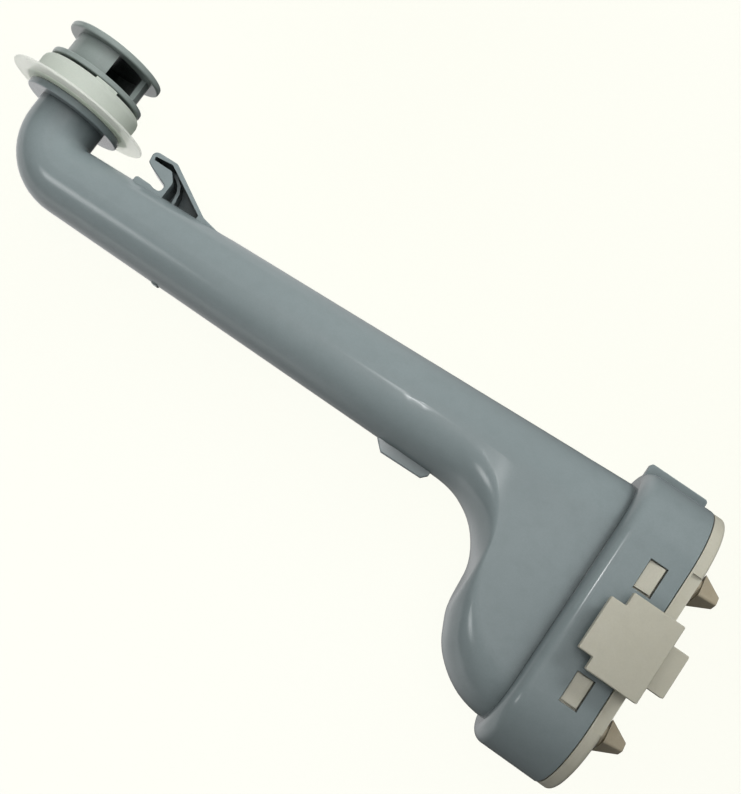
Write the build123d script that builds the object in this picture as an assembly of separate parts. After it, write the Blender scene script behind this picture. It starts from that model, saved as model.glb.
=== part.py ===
from build123d import *
import math
import os

os.makedirs("parts", exist_ok=True)

# ------------------------------------------------------------------
# Feed conduit of a dishwasher's upper spray arm.
# Working frame (mm): X from the hub to the docking face, Y along the
# hub axis towards its free end, Z across the mid-plane.  The hub axis
# is x = HUB_AX and the mid-plane z = 0; the pieces are shifted to the
# row frame when they are written.
# ------------------------------------------------------------------

# tube and elbow
WALL = 2.0                 # wall of the tube
HUB_AX = 0.6               # place of the hub axis along X
R_LEG = 10.7               # outer radius of the elbow and its leg
BEND_R = 11.4              # bend radius at the tube's middle line
BEND_Y = 11.7              # height where the straight leg begins
TUBE_SLOPE = 1.54          # degrees that the tube rises towards the dock
TUBE_TAPER = 0.0232        # growth of the tube's radius for each mm
TUBE_FLAT = 0.5            # narrow flats left by the parting faces, top and bottom

# hub seat on the elbow
FLANGE_R = 15.8
FLANGE_Y0, FLANGE_Y1 = 17.1, 19.4
NECK_R = 13.6              # journal that the white ring turns on
NECK_TOP = 28.4
SOCKET_R = 9.8             # socket for the hub's spigot, with a stop shoulder
SOCKET_Y0 = 19.8

# spray arm hub
MID_R = 15.75
MID_Y0, MID_Y1 = 28.8, 30.6
DRUM_R = 12.6
DRUM_IN_R = 10.6
END_R = 16.0
END_Y0, END_Y1 = 38.4, 40.4
HUB_BORE_R = 8.2
SPIGOT_R = SOCKET_R - 0.03
SPIGOT_Y0 = 20.0
WIN_A0, WIN_A1 = 25.0, 84.0 # angular span of the outlet window from +Z to +X

# white bearing ring
RING_BORE_R = NECK_R + 0.3
RING_Y0, RING_Y1 = 19.7, 27.9
RING_BODY_R = 16.9
RING_FLANGE_R = 22.9
RING_TABS = 3              # raised tabs on the ring's upper edge
TAB_A0, TAB_A1 = 20.0, 46.0
TAB_TOP = 28.5

# swollen end and collar
BELLY_X, BELLY_R = 152.0, 22.4   # hollow arc that leaves the tube's lower edge
SWELL_R = 25.5             # round arc that follows it
BULB_W = 15.2              # half depth of the swollen end at the collar
RAMP = 0.42                # share of the swollen end on which its depth grows
COLLAR_YC = -18.4          # centre of the collar and its docking face
PORT_OFF = 24.1            # ports above and below that centre
COLLAR_R = 20.9            # end radius and half depth of the collar
COLLAR_X0, COLLAR_X1 = 200.0, 221.8
COLLAR_EDGE = 3.8          # rounding of the shoulder
COLLAR_WALL = 2.4
SHOULDER_T = 3.0
WINDOW_OFF = 17.7          # snap windows above and below the window centre
WINDOW_YC = -19.4
WINDOW_X0, WINDOW_X1 = 211.4, 216.8
WINDOW_H = 9.2

# docking insert
SKIRT_GAP = 0.1
SKIRT_WALL = 1.6
SKIRT_X0 = 206.0
PLATE_X0, PLATE_X1 = 222.0, 224.4
RIM_X1 = 225.8
PORT_R = 14.5
CLIP_TOP, CLIP_T = 28.0, 2.2
CLIP_X0, CLIP_XT, CLIP_X1 = 206.9, 211.3, 226.9
CLIP_Y0, CLIP_Y1 = -31.4, -7.9
TONGUE_Y0, TONGUE_Y1 = -27.8, -12.0
TAB_X1 = 233.8
TAB_Y0, TAB_Y1 = -26.0, -12.8
TAB_Z0, TAB_Z1 = 17.6, 20.0

# diverter rocker
PIVOT_X = 216.6
PIVOT_R = 2.0
PIVOT_GAP = 0.06
ROCK_DEG = 6.0             # swing each way from the middle position
DISC_R = 15.6
DISC_T = 2.0
DISC_FRONT = 221.6         # front of a disc that lies on its port
NOSE_X0, NOSE_X1 = 230.4, 236.9
NOSE_R0, NOSE_R1 = 5.6, 2.2
NOSE_TURN = 104.0          # four-sided noses, with one ridge just below the +Z side
STEM_R = 3.4

# row frame: middle of the bounding box on the floor plane
ROW_X = (NOSE_X1 + HUB_AX - RING_FLANGE_R) / 2
ROW_Y = (END_Y1 + COLLAR_YC - PORT_OFF - COLLAR_R) / 2
ROW_Z = -RING_FLANGE_R


def write(solid, name):
    solid = Pos(-ROW_X, -ROW_Y, -ROW_Z) * solid
    solid.label = name
    export_step(solid, "parts/" + name + ".step")


def ring_y(profile):
    """Solid of revolution about the hub axis from (radius, y) points."""
    face = make_face(Polyline(*[(r, y, 0) for r, y in profile], close=True))
    return Pos(HUB_AX, 0, 0) * revolve(face, axis=Axis.Y, revolution_arc=360)


def cyl_y(r, y0, y1, x=HUB_AX, z=0.0):
    return Pos(x, (y0 + y1) / 2, z) * Rot(90, 0, 0) * Cylinder(r, y1 - y0)


def box(x0, x1, y0, y1, z0, z1):
    return Pos((x0 + x1) / 2, (y0 + y1) / 2, (z0 + z1) / 2) * Box(x1 - x0, y1 - y0, z1 - z0)


def obround(x0, x1, r, half, yc=COLLAR_YC):
    """Obround bar along X: end radius and half depth r, half length along Y."""
    plane = Plane(origin=(x0, yc, 0), x_dir=(0, 1, 0), z_dir=(1, 0, 0))
    return extrude(plane * SlotOverall(2 * half, 2 * r), amount=x1 - x0)


def plate_z(points, z0, z1):
    face = make_face(Polyline(*[(x, y, z0) for x, y in points], close=True))
    return extrude(face, amount=z1 - z0, dir=(0, 0, 1))


# ------------------------------------------------------------------
# conduit body: one grey moulding
# ------------------------------------------------------------------
slope = math.radians(TUBE_SLOPE)
T = Vector(math.cos(slope), math.sin(slope), 0)
turn = math.radians(90 + TUBE_SLOPE)
P0 = Vector(HUB_AX + BEND_R - BEND_R * math.cos(turn), BEND_Y - BEND_R * math.sin(turn), 0)


def axis_point(s):
    return P0 + T * s


def tube_r(s):
    return R_LEG + TUBE_TAPER * s


def leg_face(inset):
    """Section of the elbow's leg: round with a narrow flat on the two sides."""
    return Plane(origin=(HUB_AX, BEND_Y, 0), x_dir=(1, 0, 0), z_dir=(0, 1, 0)) * SlotOverall(
        2 * (R_LEG - inset), 2 * (R_LEG - TUBE_FLAT / 2 - inset))


def bend(inset):
    return revolve(leg_face(inset), axis=Axis((HUB_AX + BEND_R, BEND_Y, 0), (0, 0, 1)), revolution_arc=90 + TUBE_SLOPE)


# outline of the swollen end in the mid-plane: the upper edge goes straight
# on, the lower edge leaves the tube in a hollow arc and swells in a round one
N = Vector(-T.Y, T.X, 0)
S_BELLY = (BELLY_X - P0.X) / T.X
LOWER_LEN = (BELLY_R + SWELL_R) * math.pi / 2


def upper_edge(s):
    return axis_point(s) + N * tube_r(s)


def lower_edge(q):
    """Point of the lower edge, q mm along it from the start of the hollow arc."""
    p = axis_point(S_BELLY) - N * tube_r(S_BELLY)
    c1 = Vector(p.X, p.Y - BELLY_R, 0)
    c2 = Vector(c1.X + BELLY_R + SWELL_R, c1.Y, 0)
    if q <= BELLY_R * math.pi / 2:
        a = math.pi / 2 - q / BELLY_R
        return c1 + Vector(math.cos(a), math.sin(a), 0) * BELLY_R
    a = math.pi + (q - BELLY_R * math.pi / 2) / SWELL_R
    return c2 + Vector(math.cos(a), math.sin(a), 0) * SWELL_R


def tube_chord(s):
    return (upper_edge(s), axis_point(s) - N * tube_r(s), tube_r(s) - TUBE_FLAT / 2)


LEAD, SWEEP = 4, 12        # sections on the plain tube and on the swollen end
LEAD_STEP = LOWER_LEN / SWEEP * 0.8
CONE_LEN = S_BELLY - LEAD * LEAD_STEP
CHORDS = []
for i in range(-LEAD, 1):
    s = S_BELLY + i * LEAD_STEP
    CHORDS.append(tube_chord(s))
end_s = S_BELLY + (lower_edge(LOWER_LEN).X - upper_edge(S_BELLY).X) / T.X
for i in range(1, SWEEP + 1):
    f = i / SWEEP
    g = min(1.0, f / RAMP)
    CHORDS.append((upper_edge(S_BELLY + (end_s - S_BELLY) * f), lower_edge(LOWER_LEN * f),
                   tube_r(S_BELLY) - TUBE_FLAT / 2 + (BULB_W - tube_r(S_BELLY)) * g * g * (3 - 2 * g)))
last = CHORDS[-1]
CHORDS.append((last[0] + Vector(4.0, 0.15, 0), last[1] + Vector(4.0, -0.1, 0), last[2] + 0.05))


def section(chord, inset):
    """Closed section through a chord of the outline: two round ends joined by
    flats on the two sides, which are narrow on the tube and wide on the bulb."""
    u, l, w = chord
    mid, half = (u + l) * 0.5, (u - l).length / 2 - inset
    d = (u - l).normalized()
    w = w - inset
    flat = half - w
    z = Vector(0, 0, w)
    up, low = mid + d * flat, mid - d * flat
    h = math.sqrt(0.5)
    return make_face([
        ThreePointArc(up + d * w, up + d * (w * h) + z * h, up + z),
        Line(up + z, low + z),
        ThreePointArc(low + z, low - d * (w * h) + z * h, low - d * w),
        ThreePointArc(low - d * w, low - d * (w * h) - z * h, low - z),
        Line(low - z, up - z),
        ThreePointArc(up - z, up + d * (w * h) - z * h, up + d * w),
    ])


def tube_run(inset):
    return loft([section(tube_chord(0.0), inset), section(tube_chord(CONE_LEN), inset)], ruled=True)


bulb_out = loft([section(c, 0.0) for c in CHORDS])
bulb_in = loft([section(c, WALL) for c in CHORDS])

outer = bend(0.0) + extrude(leg_face(0.0), amount=FLANGE_Y0 + 0.5 - BEND_Y, dir=(0, 1, 0))
outer += tube_run(0.0)
outer += bulb_out

# docking collar with a rounded shoulder
collar = obround(COLLAR_X0, COLLAR_X1, COLLAR_R, PORT_OFF + COLLAR_R)
collar = fillet(collar.faces().sort_by(Axis.X)[0].edges(), COLLAR_EDGE)
collar = fillet(collar.faces().sort_by(Axis.X)[-1].edges(), 0.5)
outer += collar

# flange and journal for the white ring
flange = cyl_y(FLANGE_R, FLANGE_Y0, FLANGE_Y1)
flange = fillet(flange.edges().filter_by(GeomType.CIRCLE), 0.5)
outer += flange + cyl_y(NECK_R, FLANGE_Y1 - 0.4, NECK_TOP)

# hook for a rack wire: spine, C-shaped web and tooth beside the tube
HOOK_Z = 4.6
hook_outline = [
    ((28.9, 9.0), 0.1), ((29.2, 12.9), 0.9), ((34.2, 12.9), 0.9), ((35.6, 12.5), 0.6), ((37.9, 12.6), 1.2),
    ((38.0, 14.9), 0.9), ((31.2, 17.5), 0.5), ((29.7, 18.3), 0.9), ((29.1, 21.9), 1.6), ((31.0, 22.35), 1.0), ((37.2, 22.6), 1.9),
    ((53.2, 13.6), 4.0), ((60.5, 12.3), 0.1), ((60.5, 9.0), 0.1),
]
pocket_outline = [
    ((30.5, 20.75), 0.4), ((36.3, 21.5), 1.2), ((51.6, 13.2), 0.3), ((51.6, 9.0), 0.1), ((39.5, 9.0), 0.1),
    ((39.5, 17.0), 1.6), ((37.3, 19.7), 1.2), ((30.9, 19.6), 0.35),
]


def rounded_plate(corners, z0, z1):
    path = FilletPolyline(*[(x, y, z0) for (x, y), r in corners], radius=[r for c, r in corners], close=True)
    return extrude(make_face(path), amount=z1 - z0, dir=(0, 0, 1))


hook = rounded_plate(hook_outline, -HOOK_Z, HOOK_Z)
hook = fillet(hook.faces().filter_by(Axis.Z).edges(), 0.45)
POCKET_FLOOR = 1.4         # floor of the pocket, which is open on the +Z side
hook -= rounded_plate(pocket_outline, -HOOK_Z + POCKET_FLOOR, HOOK_Z + 1)
stiffener = plate_z([(37.6, 19.9), (38.3, 20.1), (41.0, 18.1), (42.2, 15.8), (42.7, 12.8), (42.5, 9.0), (41.6, 9.0), (41.8, 12.8),
                     (41.3, 15.6), (40.3, 17.5)], -HOOK_Z + 0.4, HOOK_Z - 3.0)
hook += stiffener
outer += hook

# small lug, gate mark and the rib on the collar's upper end
lug = plate_z([(131.9, -8.0), (131.9, -10.2), (134.9, -13.0), (148.5, -12.6), (150.1, -10.9), (150.2, -8.0)], -1.5, 1.5)
lug = fillet(lug.edges().filter_by(Axis.Z).group_by(Axis.Y)[0], 0.5)
outer += fillet(lug.faces().filter_by(Axis.Z).edges(), 0.3)
outer += fillet((Pos(52.2, -9.85, 0) * Box(2.4, 1.6, 2.2)).edges().filter_by(Axis.Z).group_by(Axis.Y)[0], 0.6)
TOP_Y = COLLAR_YC + PORT_OFF + COLLAR_R
rib = box(200.6, 219.7, TOP_Y - 2.0, TOP_Y + 2.2, -1.5, 1.5)
rib = fillet(rib.edges().filter_by(Axis.Z).group_by(Axis.Y)[-1], 1.0)
outer += fillet(rib.faces().filter_by(Axis.Z).edges(), 0.35)

# water way
water = bend(WALL) + extrude(leg_face(WALL), amount=SOCKET_Y0 + 0.5 - BEND_Y, dir=(0, 1, 0))
water += cyl_y(SOCKET_R, SOCKET_Y0, NECK_TOP + 1)
water += tube_run(WALL)
water += bulb_in
water += obround(COLLAR_X0 + SHOULDER_T, COLLAR_X1 + 1, COLLAR_R - COLLAR_WALL, PORT_OFF + COLLAR_R - COLLAR_WALL)
body = outer - water

# snap windows on both flats
for side in (1, -1):
    for k in (1, -1):
        yc = WINDOW_YC + k * WINDOW_OFF
        body -= Pos((WINDOW_X0 + WINDOW_X1) / 2, yc, side * COLLAR_R) * Box(WINDOW_X1 - WINDOW_X0, WINDOW_H, 8.0)
    rims = [e for e in body.edges().filter_by(GeomType.LINE)
            if abs(e.center().Z - side * COLLAR_R) < 1e-3 and WINDOW_X0 - 0.01 < e.center().X < WINDOW_X1 + 0.01
            and abs(abs(e.center().Y - WINDOW_YC) - WINDOW_OFF) < WINDOW_H / 2 + 0.01]
    body = fillet(rims, 0.25)

# ------------------------------------------------------------------
# spray arm hub: spigot, middle disc, drum with two windows, end disc
# ------------------------------------------------------------------
mid_disc = fillet(cyl_y(MID_R, MID_Y0, MID_Y1).edges().filter_by(GeomType.CIRCLE), 0.5)
end_disc = fillet(cyl_y(END_R, END_Y0, END_Y1).edges().filter_by(GeomType.CIRCLE), 0.6)
hub = mid_disc + end_disc + cyl_y(DRUM_R, MID_Y1 - 0.3, END_Y0 + 0.3) + cyl_y(SPIGOT_R, SPIGOT_Y0, MID_Y0 + 0.3)
hub -= cyl_y(HUB_BORE_R, SPIGOT_Y0 - 1, MID_Y1 - 0.5)
hub -= cyl_y(DRUM_IN_R, MID_Y1 - 0.6, END_Y0)
hub -= cyl_y(9.0, END_Y1 - 0.8, END_Y1 + 1)
for turn_deg in (0, 180):
    a0, a1 = math.radians(WIN_A0 + turn_deg), math.radians(WIN_A1 + turn_deg)
    far = 40.0
    am = (a0 + a1) / 2
    wedge = make_face(Polyline((HUB_AX, MID_Y1, 0),
                               (HUB_AX + far * math.sin(a0), MID_Y1, far * math.cos(a0)),
                               (HUB_AX + far * math.sin(am), MID_Y1, far * math.cos(am)),
                               (HUB_AX + far * math.sin(a1), MID_Y1, far * math.cos(a1)), close=True))
    cut = extrude(wedge, amount=END_Y0 - MID_Y1, dir=(0, 1, 0))
    hub -= cut & (cyl_y(DRUM_R + 1, MID_Y1, END_Y0) - cyl_y(DRUM_IN_R - 1, MID_Y1 - 1, END_Y0 + 1))

# ------------------------------------------------------------------
# bearing ring: body with three raised tabs on its upper edge and a wide
# thin flange
# ------------------------------------------------------------------
ring = ring_y([
    (RING_BORE_R, RING_Y0), (15.2, RING_Y0), (15.6, 20.05), (RING_FLANGE_R - 0.6, 20.15), (RING_FLANGE_R - 0.25, 20.2),
    (RING_FLANGE_R, 20.45), (RING_FLANGE_R, 20.75), (RING_FLANGE_R - 0.3, 21.1), (RING_FLANGE_R - 1.1, 21.2),
    (17.6, 21.45), (RING_BODY_R, 22.0), (RING_BODY_R, 26.2), (RING_BODY_R - 0.3, 27.3), (RING_BODY_R - 0.9, RING_Y1),
    (RING_BORE_R + 0.4, RING_Y1), (RING_BORE_R, RING_Y1 - 0.4),
])
for i in range(RING_TABS):
    a0, a1 = (math.radians(v + 360.0 / RING_TABS * i) for v in (TAB_A0, TAB_A1))
    far = 40.0
    am = (a0 + a1) / 2
    wedge = make_face(Polyline((HUB_AX, 26.6, 0),
                               (HUB_AX + far * math.sin(a0), 26.6, far * math.cos(a0)),
                               (HUB_AX + far * math.sin(am), 26.6, far * math.cos(am)),
                               (HUB_AX + far * math.sin(a1), 26.6, far * math.cos(a1)), close=True))
    tab = extrude(wedge, amount=TAB_TOP - 26.6, dir=(0, 1, 0))
    ring += tab & (cyl_y(RING_BODY_R - 0.4, 26.6, TAB_TOP) - cyl_y(RING_BORE_R + 0.5, 26.0, 29.0))

# ------------------------------------------------------------------
# docking insert: skirt with snap tabs, front plate with two ports,
# rim, clip plate and pivot ears
# ------------------------------------------------------------------
R_SK = COLLAR_R - COLLAR_WALL - SKIRT_GAP
insert = obround(SKIRT_X0, PLATE_X0 + 0.2, R_SK, PORT_OFF + R_SK)
insert -= obround(SKIRT_X0 - 1, PLATE_X0, R_SK - SKIRT_WALL, PORT_OFF + R_SK - SKIRT_WALL)
R_RIM = COLLAR_R - 0.2
rim = obround(PLATE_X0, RIM_X1, R_RIM, PORT_OFF + R_RIM)
rim = fillet(rim.faces().sort_by(Axis.X)[-1].edges(), 1.3)
rim -= obround(PLATE_X1, RIM_X1 + 1, R_RIM - 3.4, PORT_OFF + R_RIM - 3.4)
for side in (1, -1):
    z0 = R_RIM - 1.1
    lo, hi = (z0, R_RIM + 2) if side > 0 else (-R_RIM - 2, -z0)
    rim -= box(PLATE_X0 + 0.6, RIM_X1 + 1, COLLAR_YC - PORT_OFF - 0.4, COLLAR_YC + PORT_OFF + 0.4, lo, hi)
insert += rim
for k in (1, -1):
    port = Plane(origin=(PLATE_X0 - 3, COLLAR_YC + k * PORT_OFF, 0), z_dir=(1, 0, 0)) * Cylinder(
        PORT_R, 12, align=(Align.CENTER, Align.CENTER, Align.MIN))
    insert -= port

# snap tabs, wedge shaped, standing in the collar's windows
for side in (1, -1):
    for k in (1, -1):
        yc = WINDOW_YC + k * WINDOW_OFF
        x0, x1 = WINDOW_X0 + 0.3, WINDOW_X1 - 0.5
        prof = [(x0, R_SK - 0.6), (x1, R_SK - 0.6), (x1, R_SK + 2.1), (x1 - 0.8, R_SK + 2.1), (x0, R_SK + 1.1)]
        face = make_face(Polyline(*[(x, yc - WINDOW_H / 2 + 0.7, side * z) for x, z in prof], close=True))
        insert += extrude(face, amount=WINDOW_H - 1.0, dir=(0, 1, 0))

# clip: front wall, T-shaped plate over the collar and the lower tab
insert += box(PLATE_X1 - 0.4, CLIP_X1, CLIP_Y0 + 1.2, CLIP_Y1 - 1.2, R_RIM - 6.0, CLIP_TOP - 0.5)
clip = plate_z([
    (CLIP_X1, CLIP_Y0), (CLIP_X1, CLIP_Y1), (CLIP_XT, CLIP_Y1), (CLIP_XT, TONGUE_Y1), (CLIP_X0, TONGUE_Y1),
    (CLIP_X0, TONGUE_Y0), (CLIP_XT, TONGUE_Y0), (CLIP_XT, CLIP_Y0)], CLIP_TOP - CLIP_T, CLIP_TOP)
clip = fillet(clip.edges().filter_by(Axis.Z), 0.4)
insert += fillet(clip.faces().sort_by(Axis.Z)[-1].edges(), 0.35)
tab = box(CLIP_X1 - 1.0, TAB_X1, TAB_Y0, TAB_Y1, TAB_Z0, TAB_Z1)
tab = fillet(tab.edges().filter_by(Axis.Z).group_by(Axis.X)[-1], 0.5)
insert += fillet(tab.faces().sort_by(Axis.Z)[-1].edges(), 0.3)

# pivot ears behind the plate, above and below the rocker's hub
EAR_Z0, EAR_Z1 = 12.4, 15.4
for side in (1, -1):
    z0, z1 = (EAR_Z0, EAR_Z1) if side > 0 else (-EAR_Z1, -EAR_Z0)
    insert += box(PIVOT_X - 4.2, PLATE_X0 + 0.3, COLLAR_YC - 4.2, COLLAR_YC + 4.2, z0, z1)
    insert -= Pos(PIVOT_X, COLLAR_YC, (z0 + z1) / 2) * Cylinder(PIVOT_R + PIVOT_GAP, z1 - z0 + 2)

# ------------------------------------------------------------------
# diverter rocker: pivot bar, two flap discs in a shallow V, two noses
# ------------------------------------------------------------------
rocker = Pos(PIVOT_X, COLLAR_YC, 0) * Cylinder(3.4, 2 * EAR_Z0 - 0.6)
rocker += Pos(PIVOT_X, COLLAR_YC, 0) * Cylinder(PIVOT_R, 2 * EAR_Z1 - 0.2)
pivot_axis = Axis((PIVOT_X, COLLAR_YC, 0), (0, 0, 1))
for k in (1, -1):
    yc = COLLAR_YC + k * PORT_OFF
    disc = Plane(origin=(DISC_FRONT - DISC_T, yc, 0), z_dir=(1, 0, 0)) * Cylinder(
        DISC_R, DISC_T, align=(Align.CENTER, Align.CENTER, Align.MIN))
    disc = fillet(disc.edges().filter_by(GeomType.CIRCLE), 0.4)
    arm = box(DISC_FRONT - DISC_T - 2.2, DISC_FRONT - DISC_T + 0.6, min(COLLAR_YC, yc), max(COLLAR_YC, yc), -6.0, 6.0)
    rocker += (disc + arm).rotate(pivot_axis, k * ROCK_DEG)
    stem = Plane(origin=(PIVOT_X + 0.5, yc, 0), z_dir=(1, 0, 0)) * Cylinder(
        STEM_R, NOSE_X0 - PIVOT_X, align=(Align.CENTER, Align.CENTER, Align.MIN))
    nose = loft([Plane(origin=(x, yc, 0), x_dir=(0, 1, 0), z_dir=(1, 0, 0)) * RegularPolygon(r, 4, rotation=NOSE_TURN)
                 for x, r in ((NOSE_X0, NOSE_R0), (NOSE_X1, NOSE_R1))], ruled=True)
    ridges = [e for e in nose.edges() if NOSE_X0 + 1 < e.center().X < NOSE_X1 - 1]
    nose = fillet(ridges, 0.7)
    rocker += stem + fillet(nose.faces().sort_by(Axis.X)[-1].edges(), 0.5)

write(body, "conduit_body")
write(hub, "spray_arm_hub")
write(ring, "bearing_ring")
write(insert, "docking_insert")
write(rocker, "diverter_rocker")
for name, s in (("conduit_body", body), ("spray_arm_hub", hub), ("bearing_ring", ring),
                ("docking_insert", insert), ("diverter_rocker", rocker)):
    b = s.bounding_box()
    print(name, len(s.solids()), round(s.volume, 1), [round(v, 2) for v in (*b.min, *b.max)])
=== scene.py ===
import math

import bpy
from mathutils import Matrix, Vector

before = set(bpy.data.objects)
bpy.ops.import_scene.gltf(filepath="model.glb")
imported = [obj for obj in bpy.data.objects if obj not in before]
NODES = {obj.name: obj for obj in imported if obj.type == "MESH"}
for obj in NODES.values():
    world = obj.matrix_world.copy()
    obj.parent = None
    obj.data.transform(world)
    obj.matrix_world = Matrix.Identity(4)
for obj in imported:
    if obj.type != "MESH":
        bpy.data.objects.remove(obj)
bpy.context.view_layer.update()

scene = bpy.context.scene


# ---------------------------------------------------------------- materials
def new_material(name):
    mat = bpy.data.materials.new(name)
    mat.use_nodes = True
    nt = mat.node_tree
    nt.nodes.clear()
    out = nt.nodes.new("ShaderNodeOutputMaterial")
    bsdf = nt.nodes.new("ShaderNodeBsdfPrincipled")
    nt.links.new(bsdf.outputs["BSDF"], out.inputs["Surface"])
    return mat, nt, bsdf


def coords(nt, scale=(1, 1, 1)):
    tc = nt.nodes.new("ShaderNodeTexCoord")
    mp = nt.nodes.new("ShaderNodeMapping")
    mp.inputs["Scale"].default_value = scale
    nt.links.new(tc.outputs["Object"], mp.inputs["Vector"])
    return mp.outputs["Vector"]


def noise(nt, vec, scale, detail=3.0, rough=0.55, distortion=0.0):
    n = nt.nodes.new("ShaderNodeTexNoise")
    n.inputs["Scale"].default_value = scale
    n.inputs["Detail"].default_value = detail
    n.inputs["Roughness"].default_value = rough
    n.inputs["Distortion"].default_value = distortion
    nt.links.new(vec, n.inputs["Vector"])
    return n.outputs["Fac"]


def remap(nt, val, a, b, lo, hi, smooth=False):
    r = nt.nodes.new("ShaderNodeMapRange")
    r.interpolation_type = "SMOOTHSTEP" if smooth else "LINEAR"
    r.inputs["From Min"].default_value = a
    r.inputs["From Max"].default_value = b
    r.inputs["To Min"].default_value = lo
    r.inputs["To Max"].default_value = hi
    nt.links.new(val, r.inputs["Value"])
    return r.outputs["Result"]


def math_node(nt, op, a, b=None, clamp=False):
    m = nt.nodes.new("ShaderNodeMath")
    m.operation = op
    m.use_clamp = clamp
    for i, v in enumerate((a, b)):
        if v is None:
            continue
        if isinstance(v, (int, float)):
            m.inputs[i].default_value = v
        else:
            nt.links.new(v, m.inputs[i])
    return m.outputs[0]


def mix_rgb(nt, fac, a, b, mode="MIX"):
    m = nt.nodes.new("ShaderNodeMix")
    m.data_type = "RGBA"
    m.blend_type = mode
    for sock, v in ((m.inputs[0], fac), (m.inputs[6], a), (m.inputs[7], b)):
        if isinstance(v, (int, float)):
            sock.default_value = v
        elif isinstance(v, tuple):
            sock.default_value = (*v, 1.0)
        else:
            nt.links.new(v, sock)
    return m.outputs[2]


def srgb(r, g, b):
    return tuple((c / 255 / 12.92) if c / 255 <= 0.04045 else ((c / 255 + 0.055) / 1.055) ** 2.4 for c in (r, g, b))


def bump(nt, height, strength, distance, normal=None):
    b = nt.nodes.new("ShaderNodeBump")
    b.inputs["Strength"].default_value = strength
    b.inputs["Distance"].default_value = distance
    nt.links.new(height, b.inputs["Height"])
    if normal is not None:
        nt.links.new(normal, b.inputs["Normal"])
    return b.outputs["Normal"]


def edge_mask(nt, radius):
    """1 on sharp outer edges, 0 on open faces."""
    bev = nt.nodes.new("ShaderNodeBevel")
    bev.samples = 4
    bev.inputs["Radius"].default_value = radius
    geo = nt.nodes.new("ShaderNodeNewGeometry")
    dot = nt.nodes.new("ShaderNodeVectorMath")
    dot.operation = "DOT_PRODUCT"
    nt.links.new(bev.outputs["Normal"], dot.inputs[0])
    nt.links.new(geo.outputs["Normal"], dot.inputs[1])
    return remap(nt, dot.outputs["Value"], 0.995, 0.86, 0.0, 1.0)


HUB_AX = -0.1067        # the hub's axis runs along Y at this X


def axis_distance(nt, vec, x, z):
    """distance from the line along Y at this X and Z, and the Y along it"""
    part = nt.nodes.new("ShaderNodeSeparateXYZ")
    nt.links.new(vec, part.inputs[0])
    dx = math_node(nt, "SUBTRACT", part.outputs["X"], x)
    dz = math_node(nt, "SUBTRACT", part.outputs["Z"], z)
    dist = math_node(nt, "SQRT", math_node(nt, "ADD", math_node(nt, "MULTIPLY", dx, dx), math_node(nt, "MULTIPLY", dz, dz)))
    return dist, part.outputs["Y"]


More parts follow.
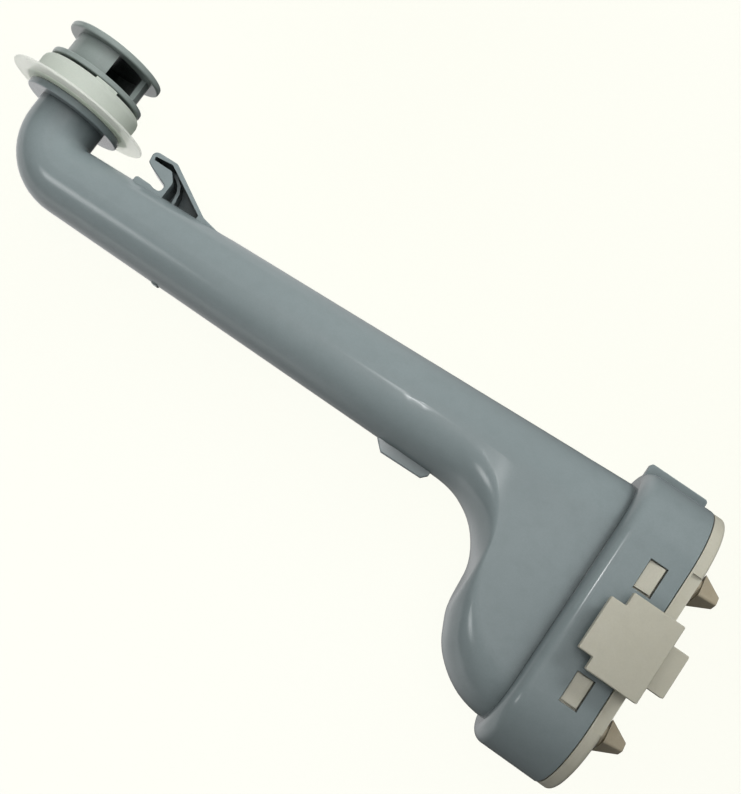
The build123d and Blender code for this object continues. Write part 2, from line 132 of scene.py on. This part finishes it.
def moulded(name, light, mid, dark, rough, spec, grain=0.05, sss=0.0, sss_radius=(1, 1, 1), sss_scale=0.001, edge=0.25,
            through=0.0, hollow_shade=None, painted_crease_shade=0.0, thin_flange_glow=None):
    mat, nt, bsdf = new_material(name)
    vec = coords(nt)
    cloud = noise(nt, vec, 22.0, 4.0, 0.55)
    fine = noise(nt, vec, 240.0, 3.0, 0.6)
    speck = noise(nt, vec, 1900.0, 2.0, 0.6)
    col = mix_rgb(nt, remap(nt, cloud, 0.34, 0.66, 0.0, 1.0, True), mid, light)
    col = mix_rgb(nt, remap(nt, fine, 0.40, 0.75, 0.0, 0.35, True), col, dark)
    col = mix_rgb(nt, remap(nt, speck, 0.35, 0.7, 0.0, 0.30), col, dark)
    wear = math_node(nt, "MULTIPLY", edge_mask(nt, 0.0006), remap(nt, noise(nt, vec, 320.0, 3.0), 0.35, 0.7, 0.15, 1.0))
    col = mix_rgb(nt, math_node(nt, "MULTIPLY", wear, edge), col, tuple(min(1.0, c * 1.35 + 0.03) for c in light))
    if painted_crease_shade:
        # painted shade: the colour darkens in creases and deep corners by ambient occlusion
        ao = nt.nodes.new("ShaderNodeAmbientOcclusion")
        ao.samples = 6
        ao.inputs["Distance"].default_value = 0.007
        crease_shade_amount = remap(nt, ao.outputs["AO"], 0.25, 0.9, 1.0, 0.0)
        crease_shade_amount = math_node(nt, "MULTIPLY", crease_shade_amount, remap(nt, fine, 0.3, 0.7, painted_crease_shade * 0.8, painted_crease_shade))
        col = mix_rgb(nt, crease_shade_amount, col, tuple(c * 0.12 for c in dark))
    if hollow_shade:
        # painted shade: the inner wall within this radius of the axis and below the end disc is painted dark, standing
        # in for the shade inside the drum
        x, z, r, top_y = hollow_shade
        dist, along = axis_distance(nt, vec, x, z)
        inner = math_node(nt, "MULTIPLY", remap(nt, dist, r + 0.0001, r + 0.0005, 1.0, 0.0, True),
                          remap(nt, along, top_y, top_y + 0.0003, 1.0, 0.0))
        inner_shade_amount = remap(nt, fine, 0.3, 0.7, 0.75, 0.95)
        col = mix_rgb(nt, math_node(nt, "MULTIPLY", inner, inner_shade_amount), col, srgb(34, 38, 36))
    if thin_flange_glow:
        # painted light: the wide flange is painted paler than the wall, standing in for light passing through the thin
        # sheet; the paper behind also shows through a little
        x, z, r, see = thin_flange_glow
        dist, along = axis_distance(nt, vec, x, z)
        sheet = remap(nt, dist, r, r + 0.0012, 0.0, 1.0, True)
        col = mix_rgb(nt, math_node(nt, "MULTIPLY", sheet, remap(nt, fine, 0.3, 0.7, 0.95, 0.75)), col, srgb(251, 252, 248))
    nt.links.new(col, bsdf.inputs["Base Color"])
    scuff = noise(nt, coords(nt, (40.0, 520.0, 520.0)), 1.0, 4.0, 0.65, 0.6)
    r = math_node(nt, "ADD", remap(nt, cloud, 0.3, 0.7, rough - 0.02, rough + 0.02), remap(nt, scuff, 0.62, 0.78, 0.0, 0.05))
    nt.links.new(r, bsdf.inputs["Roughness"])
    bsdf.inputs["Specular IOR Level"].default_value = spec
    bsdf.inputs["IOR"].default_value = 1.49
    if sss:
        bsdf.inputs["Subsurface Weight"].default_value = sss
        bsdf.inputs["Subsurface Radius"].default_value = sss_radius
        bsdf.inputs["Subsurface Scale"].default_value = sss_scale
    n1 = bump(nt, noise(nt, vec, 48.0, 2.0, 0.45), 0.10, 0.0005)
    n2 = bump(nt, speck, grain, 0.0001, n1)
    nt.links.new(n2, bsdf.inputs["Normal"])
    if through:
        glow = nt.nodes.new("ShaderNodeBsdfTranslucent")
        nt.links.new(col, glow.inputs["Color"])
        mix = nt.nodes.new("ShaderNodeMixShader")
        mix.inputs[0].default_value = through
        out = next(n for n in nt.nodes if n.type == "OUTPUT_MATERIAL")
        nt.links.new(bsdf.outputs["BSDF"], mix.inputs[1])
        nt.links.new(glow.outputs["BSDF"], mix.inputs[2])
        nt.links.new(mix.outputs["Shader"], out.inputs["Surface"])
        if thin_flange_glow:
            clear = nt.nodes.new("ShaderNodeBsdfTransparent")
            veil = nt.nodes.new("ShaderNodeMixShader")
            nt.links.new(math_node(nt, "MULTIPLY", sheet, remap(nt, cloud, 0.3, 0.7, see * 0.94, see)), veil.inputs[0])
            nt.links.new(mix.outputs["Shader"], veil.inputs[1])
            nt.links.new(clear.outputs["BSDF"], veil.inputs[2])
            nt.links.new(veil.outputs["Shader"], out.inputs["Surface"])
    return mat


# painted shade darkens the creases and deep corners of both grey mouldings
grey = moulded("grey_moulding", srgb(130, 141, 142), srgb(127, 138, 139), srgb(120, 131, 132), 0.16, 0.5, painted_crease_shade=0.8)
# the hub's drum inside is painted dark as shade
grey_hub = moulded("grey_hub", srgb(141, 151, 147), srgb(137, 147, 143), srgb(128, 138, 134), 0.24, 0.45, hollow_shade=(HUB_AX, 0.0229, 0.0106, 0.0500), painted_crease_shade=0.5)
# the ring's wide flange is painted paler, standing in for light passing through it
milky = moulded("milky_ring", srgb(234, 239, 231), srgb(229, 235, 226), srgb(221, 228, 219), 0.40, 0.4, 0.04, edge=0.1, through=0.5,
                thin_flange_glow=(HUB_AX, 0.0229, 0.0172, 0.42))
ivory = moulded("ivory_insert", srgb(188, 186, 171), srgb(183, 181, 165), srgb(174, 171, 155), 0.42, 0.4, 0.06,
                0.12, (1.0, 0.85, 0.6), 0.001, 0.15)
beige = moulded("beige_rocker", srgb(168, 159, 138), srgb(160, 151, 130), srgb(149, 139, 118), 0.40, 0.4, 0.06,
                0.12, (1.0, 0.8, 0.55), 0.001, 0.15)

for node, mat in (("conduit_body", grey), ("spray_arm_hub", grey_hub), ("bearing_ring", milky),
                  ("docking_insert", ivory), ("diverter_rocker", beige)):
    data = NODES[node].data
    if not data.materials:
        data.materials.append(mat)
    for i in range(len(data.materials)):
        data.materials[i] = mat

# ---------------------------------------------------------------- floor
SIZE = 3.0
DOCK_X, DOCK_Z = 0.1145, 0.0020        # where the docking end touches the floor
slope = DOCK_Z / (DOCK_X - HUB_AX)
verts = [(x, y, slope * (x - HUB_AX) - 0.00008) for x, y in ((-SIZE, -SIZE), (SIZE, -SIZE), (SIZE, SIZE), (-SIZE, SIZE))]
me = bpy.data.meshes.new("floor")
me.from_pydata(verts, [], [(0, 1, 2, 3)])
floor = bpy.data.objects.new("floor", me)
scene.collection.objects.link(floor)
fmat, fnt, fb = new_material("floor_paper")
fvec = coords(fnt)
fcol = mix_rgb(fnt, remap(fnt, noise(fnt, fvec, 2.2, 2.0), 0.35, 0.65, 0.0, 1.0, True), srgb(150, 150, 144), srgb(151, 151, 146))
fnt.links.new(fcol, fb.inputs["Base Color"])
fb.inputs["Roughness"].default_value = 0.85
fb.inputs["Specular IOR Level"].default_value = 0.2
fnt.links.new(bump(fnt, noise(fnt, fvec, 900.0, 3.0), 0.05, 0.0002), fb.inputs["Normal"])
me.materials.append(fmat)
floor.visible_diffuse = False      # the studio's own fill lights the undersides
floor.visible_glossy = False
floor.visible_shadow = False


# ---------------------------------------------------------------- light
def area(name, loc, target, size, power, spread=180.0):
    light = bpy.data.lights.new(name, "AREA")
    light.energy = power
    light.size = size
    light.spread = math.radians(spread)
    ob = bpy.data.objects.new(name, light)
    scene.collection.objects.link(ob)
    ob.location = loc
    ob.rotation_mode = "QUATERNION"
    ob.rotation_quaternion = (Vector(target) - Vector(loc)).to_track_quat("-Z", "Y")
    return ob


def sun(name, toward, energy, angle):
    light = bpy.data.lights.new(name, "SUN")
    light.energy = energy
    light.angle = angle
    ob = bpy.data.objects.new(name, light)
    scene.collection.objects.link(ob)
    ob.rotation_mode = "QUATERNION"
    ob.rotation_quaternion = (-Vector(toward)).to_track_quat("-Z", "Y")
    return ob


# a soft key from the hub's free side, a small lamp above the lens, soft boxes on the left and overhead
KEY = Vector((0.35, 0.62, 0.70)).normalized()
key = sun("key", KEY, 1.8, 0.40)
flash = area("flash", (-0.0133, 0.0395, 0.3529), (0.0, 0.0, 0.02), 0.008, 0.075)
left = area("left_box", (-0.46, -0.37, 0.63), (-0.09, 0.0, 0.02), 0.45, 0.058, 22.0)
top = area("top_box", (-0.10, 0.07, 0.50), (-0.08, 0.01, 0.03), 0.5, 0.36, 50.0)
card = area("left_card", (-0.13, -0.24, 0.03), (-0.07, 0.0, 0.02), 0.22, 0.009, 60.0)
wash = sun("floor_wash", (0.0, 0.0, 1.0), 9.5, 0.5)
wash.data.use_shadow = False
only_floor = bpy.data.collections.new("floor_only")
only_floor.objects.link(floor)
wash.light_linking.receiver_collection = only_floor
not_floor = bpy.data.collections.new("not_floor")
not_floor.objects.link(floor)
not_floor.collection_objects[0].light_linking.link_state = "EXCLUDE"
for lamp in (flash, left, top, card):
    lamp.visible_camera = False
for lamp in (key, top):
    lamp.visible_glossy = False
for lamp in (key, flash, left, top, card):
    lamp.light_linking.receiver_collection = not_floor

# a black card beside the key keeps it off the lower docking end
u = Vector((0.277, -0.785, 0.554))
w = Vector((0.893, 0.0, -0.447))
corner = Vector((0.105, -0.030, 0.040)) + KEY * 0.2 - w * 0.05
card_me = bpy.data.meshes.new("black_card")
card_me.from_pydata([corner, corner + w * 0.25, corner + w * 0.25 + u * 0.2, corner + u * 0.2], [], [(0, 1, 2, 3)])
black_card = bpy.data.objects.new("black_card", card_me)
scene.collection.objects.link(black_card)
bmat, bnt, bb = new_material("black_felt")
bvec = coords(bnt)
bnt.links.new(mix_rgb(bnt, noise(bnt, bvec, 300.0), srgb(12, 12, 12), srgb(20, 20, 20)), bb.inputs["Base Color"])
bb.inputs["Roughness"].default_value = 0.95
bb.inputs["Specular IOR Level"].default_value = 0.1
card_me.materials.append(bmat)
black_card.visible_camera = False

world = bpy.data.worlds.new("studio")
world.use_nodes = True
wt = world.node_tree
bg = wt.nodes["Background"]
direction = wt.nodes.new("ShaderNodeTexCoord").outputs["Generated"]
toward = wt.nodes.new("ShaderNodeVectorMath")
toward.operation = "DOT_PRODUCT"
wt.links.new(direction, toward.inputs[0])
toward.inputs[1].default_value = KEY
height = wt.nodes.new("ShaderNodeSeparateXYZ")
wt.links.new(direction, height.inputs[0])
sky = remap(wt, toward.outputs["Value"], 0.124, 0.70, 0.05, 0.26, True)
above = remap(wt, height.outputs["Z"], -0.03, 0.03, 0.0, 1.0, True)
below = remap(wt, height.outputs["Z"], -0.03, 0.03, 1.0, 0.0, True)
paper = remap(wt, height.outputs["X"], -0.50, 0.15, 0.95, 0.08, True)
power = math_node(wt, "ADD", math_node(wt, "MULTIPLY", sky, above),
                  math_node(wt, "MULTIPLY", paper, below))
wt.links.new(power, bg.inputs["Strength"])
bg.inputs["Color"].default_value = (1.0, 1.0, 1.0, 1)
scene.world = world
scene.view_settings.view_transform = "Standard"
scene.view_settings.look = "None"
scene.view_settings.exposure = 0.0

# ---------------------------------------------------------------- camera
cam = bpy.data.cameras.new("photo_camera")
cam.sensor_width = 36.0
cam.lens = 52.14
cam.clip_start, cam.clip_end = 0.01, 20.0
cob = bpy.data.objects.new("photo_camera", cam)
scene.collection.objects.link(cob)
right, up, fwd = Vector((0.82015, 0.57215, 0.0)), Vector((-0.56511, 0.81005, 0.15643)), Vector((-0.08950, 0.12830, -0.98769))
rot = Matrix((right, up, -fwd)).transposed()
cob.matrix_world = Matrix.Translation((0.045975, -0.03274, 0.35230)) @ rot.to_4x4()
scene.camera = cob

# ---------------------------------------------------------------- close
bpy.context.view_layer.update()
